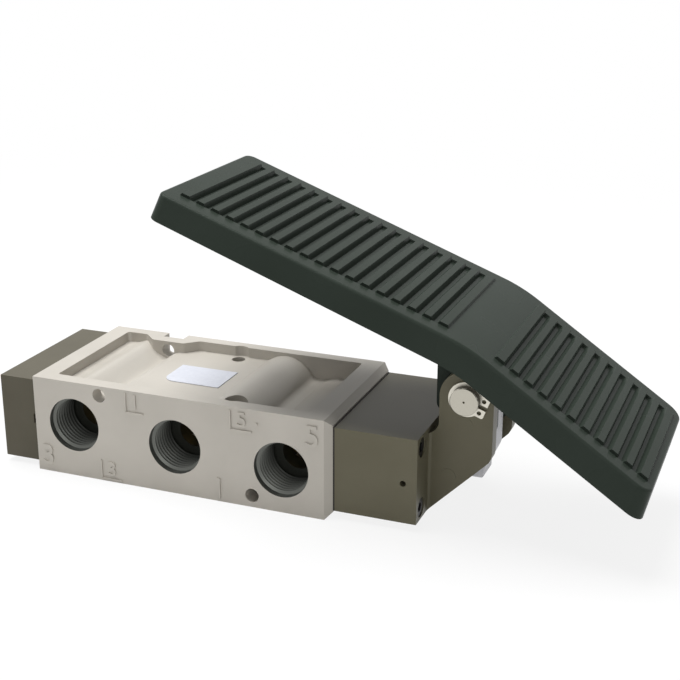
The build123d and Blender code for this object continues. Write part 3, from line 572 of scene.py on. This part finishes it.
# %% Material: turned steel of the two pins
pivot_low, pivot_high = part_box("pivot_pin")
PIVOT = ((pivot_low.x + pivot_high.x) / 2 / MM, (pivot_low.z + pivot_high.z) / 2 / MM)
link_low, link_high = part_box("link_pin")
LINK = ((link_low.x + link_high.x) / 2 / MM, (link_low.z + link_high.z) / 2 / MM)
pin_steel = turned_steel("turned_steel", "aca89c", "c6c2b6", PIVOT, roughness=0.3)
link_steel = turned_steel("turned_link_steel", "aca89c", "c6c2b6", LINK, roughness=0.3)
print("pivot at", PIVOT, "link at", LINK)

# %% [markdown]
# The smaller finishes share one recipe: a noise in colour and gloss at the grain's real size.
# They differ in colour, in metallic and in roughness, which are the three things that tell the
# eye what a thing is.

# %% Recipe: finish of a small part
SMALL_GLOSS_SPREAD = 0.06


def plain_finish(name, low, high, metallic, roughness, grain_mm):
    """A finish with a fine variation in colour and gloss."""
    material, tree, place = start_material(name)
    grain = add_node(
        tree, "ShaderNodeTexNoise", {"Scale": per_mm(grain_mm), "Detail": 3.0}, {"Vector": place}
    )
    gloss = add_node(
        tree,
        "ShaderNodeMapRange",
        {"To Min": roughness - SMALL_GLOSS_SPREAD, "To Max": roughness + SMALL_GLOSS_SPREAD},
        {"Value": grain.outputs["Fac"]},
    )
    colour = add_node(
        tree,
        "ShaderNodeValToRGB",
        links={"Fac": grain.outputs["Fac"]},
        stops=zip(MIDDLE, (low, high)),
    )
    close_material(
        tree,
        {"Metallic": metallic},
        {"Base Color": colour.outputs["Color"], "Roughness": gloss.outputs["Result"]},
    )
    print("made", name)
    return material


# %% [markdown]
# Each finish is named after the real material, and those that carry painted shade say so. Its two
# colours are close to each other, because a strong grain would look like dirt on so small a part.
# The last three values of each are metallic, roughness and the grain in millimetres.

# %% Materials: small parts
# Cast zinc is a cool grey with a dull sheen.
lever_zinc = plain_finish("zinc_casting", "b4b4b7", "bebec1", 0.6, 0.45, 0.8)
# Black oxide on screws is nearly black, with a soft gleam from the oil it holds.
black_oxide = plain_finish("black_oxide", "1c1b1a", "242322", 0.6, 0.42, 0.5)
# Nitrile rubber is a black with no metal in it, and fibre gasket is brown and quite dull.
nitrile = plain_finish("nitrile_rubber", "151515", "1b1b1b", 0.0, 0.6, 0.4)
gasket_paper = plain_finish("gasket_fibre", "2a2724", "35312d", 0.0, 0.85, 0.4)
# Turned brass is yellow and bright, sintered bronze brown and porous, so rougher.
brass = plain_finish("turned_brass", "c9a558", "d6b46a", 1.0, 0.3, 0.5)
bronze = plain_finish("sintered_bronze", "9c7440", "a98250", 1.0, 0.5, 0.3)
# Painted shade darkens cut metal: deep in the ports, on the pivot pin's side and in its centre
# holes.
deep_bore_painted_shade = plain_finish("deep_bore_painted_shade", "2c2e28", "363831", 0.3, 0.5, 0.6)
steel_painted_shade = plain_finish("steel_painted_shade", "3c392f", "4a463b", 1.0, 0.45, 0.5)
# Stamped, plated and drawn steel go from warm to neutral grey, all fairly bright.
clip_steel = plain_finish("stamped_spring_steel", "cfcbbf", "dad6ca", 1.0, 0.36, 0.5)
bright_zinc = plain_finish("zinc_plated_steel", "bfc0bf", "cacbca", 1.0, 0.32, 0.6)
spring_wire = plain_finish("spring_steel", "9a9a9a", "a8a8a8", 1.0, 0.35, 0.4)
# The spool is polished light alloy, the smoothest finish here.
spool_alloy = plain_finish("polished_alloy", "cfd0d1", "d8d9da", 1.0, 0.18, 0.6)

# %% [markdown]
# The ports' walls are cut metal, and their colour carries painted shade: they get darker from the
# mouth inwards. Lamps alone would leave them too light, because the threads catch light. The way
# in is the distance from the body's middle along Y, which Object coordinates give.

# %% Material: port walls with painted shade
BORE_DARKEST = 14.0
BORE_MOUTH = 25.0
BORE_GRAIN = 0.4
machined_bore_painted_shade, tree, place = start_material("machined_bore_painted_shade")
axes = add_node(tree, "ShaderNodeSeparateXYZ", links={"Vector": place})
outwards = add_node(tree, "ShaderNodeMath", links={0: axes.outputs["Y"]}, operation="ABSOLUTE")
nearness = add_node(
    tree,
    "ShaderNodeMapRange",
    {"From Min": BORE_DARKEST * MM, "From Max": BORE_MOUTH * MM},
    {"Value": outwards.outputs["Value"]},
)
grain = add_node(
    tree, "ShaderNodeTexNoise", {"Scale": per_mm(BORE_GRAIN), "Detail": 3.0}, {"Vector": place}
)
gloss = add_node(
    tree, "ShaderNodeMapRange", {"To Min": 0.3, "To Max": 0.42}, {"Value": grain.outputs["Fac"]}
)
# The ramp is painted shade: dark deep in the port, lighter towards the mouth.
colour = add_node(
    tree,
    "ShaderNodeValToRGB",
    links={"Fac": nearness.outputs["Result"]},
    stops=((0.0, "20221d"), (1.0, "6e706b")),
)
close_material(
    tree,
    {"Metallic": 0.6},
    {"Base Color": colour.outputs["Color"], "Roughness": gloss.outputs["Result"]},
)
print("port walls darken over", BORE_MOUTH - BORE_DARKEST, "mm")

# %% [markdown]
# Each solid now gets its skin and its material. The three castings come first. Their edges look
# sharp from afar, so the bevel is only a tenth of a millimetre wide, enough for a thin line of
# light.

# %% Dress the valve body and its castings
CAST_EDGE = 0.12
body_skin = skin("valve_body", "valve", edge=CAST_EDGE)
wear(body_skin, nickel_casting)
# The cap wears the shaded copy of the paint, the bracket the lit one.
wear(skin("return_end_cap", "valve", edge=CAST_EDGE), cap_paint_painted_shade)
wear(skin("pedal_bracket", "valve", edge=CAST_EDGE), dark_paint_painted_light)

# %% [markdown]
# The ports are cut after the casting is finished, so their walls are bare machined metal. They
# could be separate pieces, but a piece can wear several materials: each face has the number of the
# one it takes. The faces inside a port are found by their distance from its axis, and those deep
# inside take the darker material, which paints the shade there.

# %% Bare metal in the ports
mounts = {mount["name"]: mount for mount in frame["record"]["mounts"]}
PORTS = [name for name in mounts if name.startswith("port_")]
# Faces deep in a port take the darker material with painted shade.
MACHINED, DEEP_SHADE = 1, 2
SHADE_FROM = 12.0
MOUTH_MARGIN = 0.15
WALL_MARGIN = 0.05
body_skin.data.materials.append(machined_bore_painted_shade)
body_skin.data.materials.append(deep_bore_painted_shade)
cut_faces = 0
for face in body_skin.data.polygons:
    for port in PORTS:
        x, y, z = mounts[port]["pos_m"]
        radius = mounts[port]["dims"]["r_mm"] * MM
        apart = ((face.center.x - x) ** 2 + (face.center.z - z) ** 2) ** 0.5
        depth = abs(y) - abs(face.center.y)
        inside = abs(face.center.y) < abs(y) - MOUTH_MARGIN * MM and face.center.y * y > 0
        if apart < radius + WALL_MARGIN * MM and inside:
            face.material_index = DEEP_SHADE if depth > SHADE_FROM * MM else MACHINED
            cut_faces += 1
print(cut_faces, "faces of bare metal")

# %% [markdown]
# The pedal's ribs stand in a shallow recess on two slopes that meet at a knee. The blocks that
# cut it are easiest to make lying flat, with the knee at the origin, and to tilt later. A cutter
# is a cube whose top face is widened in edit mode, repeated at the ribs' pitch by an Array
# modifier. Its corners are in millimetres: x down the slope, z out of it.

# %% Cutter for a slope
FACES_UP = 0.9


def slope_block(low, high, top_spread=1.0, count=1, step=0.0):
    """A row of blocks, the first between two corners; the top is wider by the spread."""
    bpy.ops.object.select_all(action="DESELECT")
    bpy.ops.mesh.primitive_cube_add(size=1.0, location=(0, 0, 0))
    block = bpy.context.active_object
    bpy.ops.object.mode_set(mode="EDIT")
    bpy.ops.mesh.select_all(action="DESELECT")
    bpy.ops.object.mode_set(mode="OBJECT")
    for face in block.data.polygons:
        face.select = face.normal.z > FACES_UP
    bpy.ops.object.mode_set(mode="EDIT")
    bpy.ops.transform.resize(value=(top_spread, 1.0, 1.0))
    bpy.ops.object.mode_set(mode="OBJECT")
    block.scale = [(end - start) * MM for start, end in zip(low, high)]
    block.location = [(end + start) / 2 * MM for start, end in zip(low, high)]
    settle(block)
    if count > 1:
        modify(
            block,
            "ARRAY",
            count=count,
            use_relative_offset=False,
            use_constant_offset=True,
            constant_offset_displace=(step * MM, 0.0, 0.0),
        )
    return block


# %% [markdown]
# Only half of the ribs' height shows above the pedal's rim. Three kinds of cut make that on the
# copy: the crests are planed down, the ribs' ends cut back, and the gaps between them sunk. A
# Boolean modifier takes each away. Moving faces by hand would do for one rib, not for 29.

# %% Recess between the ribs
KNEE = (PIVOT[0] + 4.2, PIVOT[1] + 20.3)
RIB_PITCH = 4.58
# For each slope: its way along X, its tilt in degrees, its first rib from the knee, its ribs.
RIB_ROWS = ((-1, 20.5, 9.1, 18), (1, 34.2, 8.4, 11))
RIB_END = 23.3
CAD_RIB_END = 24.6
CREST_HEIGHT = 0.8
RECESS_DEPTH = 0.7
GAP_WIDTH = 0.98
# A gap's side leans out by 0.85 mm over 1.5 mm of height.
SIDE_LEAN = 0.85 / 1.5
ABOVE_CREST = 0.4
CLEAR_ABOVE = 3.0


def sink_ribs(piece):
    """Lower the ribs on a copy of the pedal and sink the gaps between them."""
    for way, slope, first, count in RIB_ROWS:
        ends = (first - RIB_PITCH / 2, first + (count - 0.5) * RIB_PITCH)
        start, end = sorted(way * distance for distance in ends)
        gap = way * (first + RIB_PITCH / 2)
        gap_top = CREST_HEIGHT + ABOVE_CREST
        spread = 1 + 2 * (gap_top + RECESS_DEPTH) * SIDE_LEAN / GAP_WIDTH
        blocks = [
            slope_block((start, -CAD_RIB_END, CREST_HEIGHT), (end, CAD_RIB_END, CLEAR_ABOVE)),
            slope_block((start, RIB_END, 0.0), (end, CAD_RIB_END, CLEAR_ABOVE)),
            slope_block((start, -CAD_RIB_END, 0.0), (end, -RIB_END, CLEAR_ABOVE)),
            slope_block(
                (gap - GAP_WIDTH / 2, -RIB_END, -RECESS_DEPTH),
                (gap + GAP_WIDTH / 2, RIB_END, gap_top),
                spread,
                count - 1,
                way * RIB_PITCH,
            ),
        ]
        for block in blocks:
            block.rotation_euler = (0.0, radians(slope), 0.0)
            block.location = (KNEE[0] * MM, 0.0, KNEE[1] * MM)
            settle(block)
            modify(piece, "BOOLEAN", operation="DIFFERENCE", object=block, solver="EXACT")
            bpy.data.objects.remove(block)
        print("cut", count, "ribs on a slope of", slope, "degrees")


# %% [markdown]
# The pedal is a thick painted casting, and its corners are visibly round: their bevel is almost
# three times as wide as the body's. The lever under it has the same soft corners in bare zinc.
# The pieces that turn with the pedal ride on its body.

# %% Dress the pedal and its lever
PEDAL_EDGE = 0.32
LEVER_EDGE = 0.35
pedal_skin = skin("pedal", "pedal", edge=PEDAL_EDGE, angle=35.0, carve=sink_ribs)
wear(pedal_skin, pedal_paint)
wear(skin("pedal_lever", "pedal", edge=LEVER_EDGE), lever_zinc)
wear(skin("lever_bush", "pedal"), bronze)
wear(skin("lever_lock_pin", "pedal"), spring_wire)
wear(skin("link_pin", "pedal"), link_steel)

# %% [markdown]
# The pivot pin is bright on its turned ends, and its side, where it bears, is darkened with
# painted shade. As in the ports, one piece wears both: the faces that look along Y are its ends.
# The screws are black, and the shaft rings are stamped, with edges only a little rounded.

# %% Dress the pivot and the fasteners
CLIP_EDGE = 0.06
SCREW_EDGE = 0.12
FACES_SIDEWAYS = 0.5
pin_skin = skin("pivot_pin", "valve")
wear(pin_skin, pin_steel)
# The pin's side faces take the steel with painted shade.
pin_skin.data.materials.append(steel_painted_shade)
for face in pin_skin.data.polygons:
    if abs(face.normal.y) < FACES_SIDEWAYS:
        face.material_index = 1
wear(skin("pivot_circlips", "valve", edge=CLIP_EDGE), clip_steel)
for node in ("cap_screws", "bracket_screws"):
    wear(skin(node, "valve", edge=SCREW_EDGE), black_oxide)
for node in ("cap_gasket", "bracket_gasket"):
    wear(skin(node, "valve"), gasket_paper)

# %% [markdown]
# The pieces inside the bore don't show from outside, but the model can be taken apart, so each
# has its real finish too. What stays in the bore rides on the valve, and the rest slides with
# the spool. One loop dresses them, because they differ only in these names.

# %% Dress the inner parts
for node, body, finish in (
    ("spool_seals", "valve", nitrile),
    ("rod_wiper", "valve", nitrile),
    ("spool_spacers", "valve", brass),
    ("stack_end_ring", "valve", brass),
    ("spring_seat", "valve", bright_zinc),
    ("rod_bush", "valve", bronze),
    ("spool", "spool", spool_alloy),
    ("spool_rod", "spool", bright_zinc),
    ("spring_retainer", "spool", bright_zinc),
    ("retainer_screw", "spool", black_oxide),
):
    wear(skin(node, body), finish)

# %% [markdown]
# The return spring rests against the body at one end and follows the spool at the other, so it
# gets shorter as the pedal goes down. Riding on the spool alone, it would run through its seat.
# Here it gets its skin on the valve and a mesh of its own.

# %% Dress the return spring
spring_skin = skin("return_spring", "valve")
wear(spring_skin, spring_wire)
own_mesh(spring_skin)

# %% [markdown]
# The ports are 13 mm deep and have a pipe thread with a pitch of 1.337 mm. A bump texture could
# hint at it, but the light picks out each turn, so it is real geometry. The outline of one tooth
# is drawn, with a wide foot in the wall and a narrow flat crest, and the Screw modifier winds it
# round the port's axis.

# %% Thread of one port
THREAD_RADIUS = 8.33
THREAD_DEPTH = 0.86
THREAD_PITCH = 1.337
THREAD_TURNS = 8
THREAD_START = 1.0
THREAD_STEPS = 48
IN_WALL = 0.02
# Where the tooth's foot and crest start and end, as parts of the pitch.
TOOTH_FOOT = (0.08, 0.92)
TOOTH_CREST = (0.44, 0.56)


def port_thread(name, x, y_face, z, inward):
    """A helical ridge on the port's wall, from just inside the mouth; inward is the sign in Y."""
    bpy.ops.object.select_all(action="DESELECT")
    bpy.ops.mesh.primitive_plane_add(size=1.0, location=(0, 0, 0))
    ridge = bpy.context.active_object
    ridge.name = name
    bpy.ops.object.mode_set(mode="EDIT")
    bpy.ops.mesh.delete(type="ONLY_FACE")
    bpy.ops.object.mode_set(mode="OBJECT")
    corners = [(THREAD_RADIUS + IN_WALL, share) for share in TOOTH_FOOT]
    corners += [(THREAD_RADIUS - THREAD_DEPTH, share) for share in TOOTH_CREST]
    for vertex, (radius, share) in zip(ridge.data.vertices, corners):
        vertex.co = (radius * MM, 0.0, share * THREAD_PITCH * MM)
    modify(
        ridge,
        "SCREW",
        axis="Z",
        angle=2 * pi,
        screw_offset=THREAD_PITCH * MM,
        iterations=THREAD_TURNS,
        steps=THREAD_STEPS,
        render_steps=THREAD_STEPS,
    )
    ridge.matrix_world = Matrix((
        (1, 0, 0, x),
        (0, 0, inward, y_face + inward * THREAD_START * MM),
        (0, 1, 0, z),
        (0, 0, 0, 1),
    ))
    settle(ridge)
    bpy.ops.object.mode_set(mode="EDIT")
    bpy.ops.mesh.select_all(action="SELECT")
    bpy.ops.mesh.normals_make_consistent(inside=False)
    bpy.ops.object.mode_set(mode="OBJECT")
    bpy.ops.object.shade_smooth_by_angle(angle=radians(35))
    wear(ridge, machined_bore_painted_shade)
    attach(ridge, "valve")
    return ridge


# %% [markdown]
# Each port gets its own thread, wound from its mouth inwards. The place and the direction come
# from the record's mounts, so a thread stays in its port wherever the port is.

# %% Threads in the five ports
for port in PORTS:
    x, y, z = mounts[port]["pos_m"]
    ridge = port_thread(f"{port}_thread", x, y, z, -mounts[port]["axis"][1])
    print(ridge.name, len(ridge.data.polygons), "faces")

# %% [markdown]
# A thin plate sits on the flat of the pocket, between the ridge and the hump: white enamel on
# sheet metal 0.25 mm thick. It starts as a cube at its real size. One corner is cut off round, by
# a wide bevel on its upright edge, and a narrow bevel rounds all the others.

# %% Bare plate in the pocket
PLATE_X = (-14.5, 4.3)
PLATE_Y = (-6.3, 7.3)
PLATE_THICK = 0.25
PLATE_CORNER = 3.8
PLATE_EDGE = 0.06
POCKET_FLOOR = 26.8
AT_CORNER = 0.1
bpy.ops.object.select_all(action="DESELECT")
bpy.ops.mesh.primitive_cube_add(size=1.0)
plate = bpy.context.active_object
plate.name = "pocket_plate"
plate.scale = ((PLATE_X[1] - PLATE_X[0]) * MM, (PLATE_Y[1] - PLATE_Y[0]) * MM, PLATE_THICK * MM)
plate.location = Vector((
    sum(PLATE_X) / 2,
    sum(PLATE_Y) / 2,
    POCKET_FLOOR + PLATE_THICK / 2,
)) * MM
settle(plate)
corner = Vector((PLATE_X[0], PLATE_Y[0])) * MM
for vertex in plate.data.vertices:
    vertex.select = (vertex.co.xy - corner).length < AT_CORNER * MM
for edge in plate.data.edges:
    edge.select = all(plate.data.vertices[number].select for number in edge.vertices)
for face in plate.data.polygons:
    face.select = False
bpy.ops.object.mode_set(mode="EDIT")
bpy.ops.mesh.bevel(offset=PLATE_CORNER * MM, segments=8)
bpy.ops.object.mode_set(mode="OBJECT")
modify(
    plate,
    "BEVEL",
    width=PLATE_EDGE * MM,
    segments=2,
    limit_method="ANGLE",
    angle_limit=radians(40),
)
white_enamel = plain_finish("white_enamel", "c6c9d3", "ced1da", 0.0, 0.35, 1.2)
wear(plate, white_enamel)
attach(plate, "valve")
print("plate", size_mm(plate))

# %% [markdown]
# The casting die leaves raised port numbers on the front, three of them smaller, in open frames.
# A number could be drawn in a bump texture, but raised by 0.4 mm it shows by its lit upper and
# shaded lower edges alone, in the body's own finish. It is a text object, given a thickness and
# made a mesh before it is turned upright and put in place.

# %% One raised port number
MARK_HEIGHT = 6.7
FRAMED_HEIGHT = 4.6
MARK_RISE = 0.4
FRONT_Y = mounts["port_1"]["pos_m"][1]
# A digit of the built-in font is about 0.7 of the font's size high. Cast, it swells a little.
DIGIT_SHARE = 0.73
STROKE_SWELL = 0.012


def upright(mark, x, z):
    """Turn a flat mark to face the front and put its centre at x and z, in millimetres."""
    settle(mark)
    mark.rotation_euler = (pi / 2, 0.0, 0.0)
    mark.location = (x * MM, FRONT_Y, z * MM)
    settle(mark)
    wear(mark, nickel_casting)
    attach(mark, "valve")
    return mark


def number_mark(name, digit, x, z, height):
    """One raised digit on the front."""
    bpy.ops.object.select_all(action="DESELECT")
    bpy.ops.object.text_add(location=(0, 0, 0))
    mark = bpy.context.active_object
    mark.name = name
    mark.data.body = digit
    mark.data.size = height * MM / DIGIT_SHARE
    mark.data.offset = STROKE_SWELL * height * MM
    mark.data.extrude = MARK_RISE * MM
    mark.data.align_x = "CENTER"
    mark.data.align_y = "CENTER"
    bpy.ops.object.convert(target="MESH")
    return upright(bpy.context.active_object, x, z)


# %% [markdown]
# Each of the three front ports has its number twice: large beside the port, and small in a
# frame. The places are millimetres on the front face, from the body's middle and from its base.

# %% Raised port numbers
for name, digit, x, z, height in (
    ("mark_3", "3", -43.8, 5.1, MARK_HEIGHT),
    ("mark_1", "1", 13.1, 3.8, MARK_HEIGHT),
    ("mark_5", "5", 42.1, 24.4, MARK_HEIGHT),
    ("framed_1", "1", -13.2, 26.4, FRAMED_HEIGHT),
    ("framed_3", "3", -21.9, 4.0, FRAMED_HEIGHT),
    ("framed_5", "5", 20.8, 26.3, FRAMED_HEIGHT),
):
    mark = number_mark(name, digit, x, z, height)
    print(mark.name, size_mm(mark))

# %% [markdown]
# Each framed number has a raised line at its left and one below it. A line is a cube at its real
# size, sunk a little into the casting, and the two are joined into one piece.

# %% Raised frames
FRAME_HEIGHT = 5.8
FRAME_LINE = 0.5


def frame_mark(name, x, z, width):
    """Two raised lines, left of and below the centre at x and z."""
    bars = []
    for across, up, long, high in (
        (x - width / 2, z, FRAME_LINE, FRAME_HEIGHT),
        (x, z - FRAME_HEIGHT / 2, width, FRAME_LINE),
    ):
        bpy.ops.object.select_all(action="DESELECT")
        bpy.ops.mesh.primitive_cube_add(size=1.0, location=(across * MM, FRONT_Y, up * MM))
        bar = bpy.context.active_object
        bar.scale = (long * MM, 2 * MARK_RISE * MM, high * MM)
        bars.append(settle(bar))
    only(bars[0])
    bars[1].select_set(True)
    bpy.ops.object.join()
    bars[0].name = name
    wear(bars[0], nickel_casting)
    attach(bars[0], "valve")
    return bars[0]


for name, x, z, width in (
    ("frame_1", -13.4, 26.2, 5.7),
    ("frame_3", -22.1, 3.8, 6.7),
    ("frame_5", 20.6, 26.1, 6.7),
):
    frame_lines = frame_mark(name, x, z, width)
    print(frame_lines.name, size_mm(frame_lines))

# %% [markdown]
# A few round marks are left from making: two pads where the die's ejector pins pushed the bracket
# out, the centre-drill holes in the pin's ends, and a dot beside a number. Each is a flat cylinder
# turned to its face. The holes are 0.6 mm across, so small that a dark disc of painted shade
# stands for each.

# %% Round marks
EAR_FACE_Y = -13.0
EJECTOR_RADIUS = 2.2
EJECTOR_RISE = 0.08
CENTRE_RADIUS = 0.32
CENTRE_RISE = 0.01
DOT_RADIUS = 0.45
SUNK = 0.5


def round_mark(name, place, radius, rise, material):
    """A flat cylinder along Y that stands out from a face by its rise; place in millimetres."""
    x, face_y, z = place
    outward = 1 if face_y > 0 else -1
    bpy.ops.object.select_all(action="DESELECT")
    bpy.ops.mesh.primitive_cylinder_add(
        vertices=48,
        radius=radius * MM,
        depth=(rise + SUNK) * MM,
        location=(x * MM, (face_y + outward * (rise - SUNK) / 2) * MM, z * MM),
        rotation=(pi / 2, 0.0, 0.0),
    )
    mark = settle(bpy.context.active_object)
    mark.name = name
    bpy.ops.object.shade_smooth_by_angle(angle=radians(40))
    wear(mark, material)
    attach(mark, "valve")
    print(mark.name, size_mm(mark))


for name, x, z in (("ejector_pad_1", 81.96, 29.7), ("ejector_pad_2", 77.66, 13.8)):
    place = (x, EAR_FACE_Y, z)
    round_mark(name, place, EJECTOR_RADIUS, EJECTOR_RISE, dark_paint_painted_light)
# Each centre hole is a dark disc of painted shade.
for name, end in (("centre_hole_1", pivot_low), ("centre_hole_2", pivot_high)):
    place = (PIVOT[0], end.y / MM, PIVOT[1])
    round_mark(name, place, CENTRE_RADIUS, CENTRE_RISE, steel_painted_shade)
place = (25.4, FRONT_Y / MM, 25.8)
round_mark("number_dot", place, DOT_RADIUS, MARK_RISE, nickel_casting)
